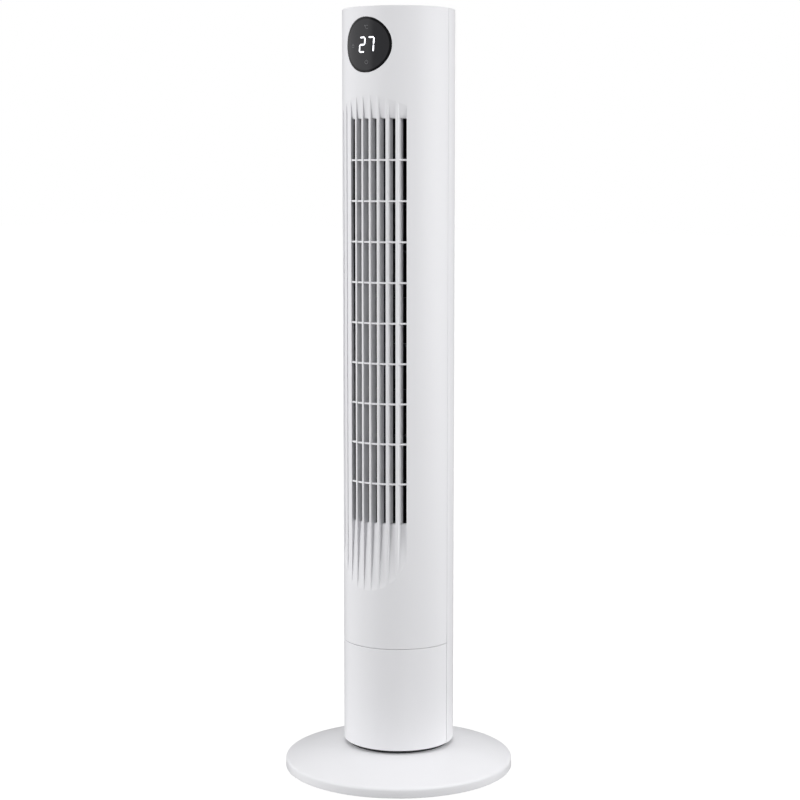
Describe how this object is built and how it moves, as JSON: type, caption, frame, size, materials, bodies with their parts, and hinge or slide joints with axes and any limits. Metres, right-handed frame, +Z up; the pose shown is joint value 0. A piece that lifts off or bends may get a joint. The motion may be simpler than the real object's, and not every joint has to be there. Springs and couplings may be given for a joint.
{
  "type": "tower fan",
  "caption": "Slim round white tower fan on a domed round base, with an upright slatted outlet, cross ribs, a round touch display and a swinging tower.",
  "frame": {"origin": "centre of the base on the floor, at the underside of the feet", "axes": "+Z up, -Y towards the front with the outlet and the display, +X to the right seen from the front"},
  "size_m": [0.278, 0.278, 0.9175],
  "materials": {
    "shell_white": "satin moulded white plastic, slightly cool",
    "base_white": "satin moulded white plastic",
    "black_plastic": "fine matt black",
    "dark_plastic": "matt, near black with a blue cast",
    "impeller_dark": "satin glass-filled plastic",
    "lens_black": "polished smoked lens",
    "lit_digits": "lit white segments",
    "foot_rubber": "soft matt",
    "steel": "zinc plated sheet",
    "screw_steel": "zinc plated",
    "core_steel": "stacked laminations",
    "copper_winding": "lacquered copper wire",
    "bearing_bronze": "sintered bronze",
    "nylon": "natural acetal",
    "circuit_board": "green solder mask",
    "capacitor_case": "cast case",
    "lead_sheath": "black sheath"
  },
  "bodies": {
    "base": {"base_cover": "base_white", "base_bottom_plate": "dark_plastic", "ballast_plate": "steel", "foot_1": "foot_rubber", "foot_2": "foot_rubber", "foot_3": "foot_rubber", "foot_4": "foot_rubber", "foot_5": "foot_rubber", "pivot_hub": "black_plastic", "pivot_gear": "nylon", "hub_nut": "steel", "bearing_ring": "nylon", "cord_gland": "dark_plastic", "base_lead": "lead_sheath", "base_screw_1": "screw_steel", "base_screw_2": "screw_steel", "base_screw_3": "screw_steel", "base_screw_4": "screw_steel"},
    "tower": {"turntable": "black_plastic", "oscillation_bracket": "steel", "oscillation_motor": "steel", "front_housing": "shell_white", "lower_front_cover": "shell_white", "rear_housing": "shell_white", "top_cap": "shell_white", "rear_screw_1": "screw_steel", "rear_screw_2": "screw_steel", "rear_screw_3": "screw_steel", "rear_screw_4": "screw_steel", "display_lens": "lens_black", "display_board": "circuit_board", "digit_module": "lit_digits", "control_board": "circuit_board", "power_module": "black_plastic", "run_capacitor": "capacitor_case", "tower_harness": "lead_sheath", "motor_plate": "dark_plastic", "motor_upper_bell": "steel", "motor_lower_bell": "steel", "stator_core": "core_steel", "stator_winding_upper": "copper_winding", "stator_winding_lower": "copper_winding", "motor_sleeve_upper": "bearing_bronze", "motor_sleeve_lower": "bearing_bronze", "motor_grommet_1": "foot_rubber", "motor_grommet_2": "foot_rubber", "motor_grommet_3": "foot_rubber", "bearing_bracket": "dark_plastic", "top_bearing_bush": "bearing_bronze", "bearing_rubber": "foot_rubber", "scroll_wall": "dark_plastic", "tongue_wall": "dark_plastic"},
    "impeller": {"impeller_wheel": "impeller_dark", "motor_rotor": "core_steel", "motor_shaft": "steel", "drive_coupling": "foot_rubber", "top_journal": "steel"},
    "pinion": {"oscillation_pinion": "nylon", "oscillation_shaft": "steel"}
  },
  "joints": [
    {"name": "oscillation", "type": "hinge", "parent": "base", "child": "tower", "pos_m": [0, 0, 0.036], "axis": [0, 0, 1], "range_deg": [-35, 35]},
    {"name": "impeller_spin", "type": "hinge", "parent": "tower", "child": "impeller", "pos_m": [0, 0.006, 0.55], "axis": [0, 0, 1], "continuous": true},
    {"name": "pinion_spin", "type": "hinge", "parent": "tower", "child": "pinion", "pos_m": [0.03375, 0, 0.041], "axis": [0, 0, 1], "range_deg": [-71, 71]}
  ],
  "couplings": [
    {"joint": "pinion_spin", "follows": "oscillation", "ratio": 2}
  ]
}
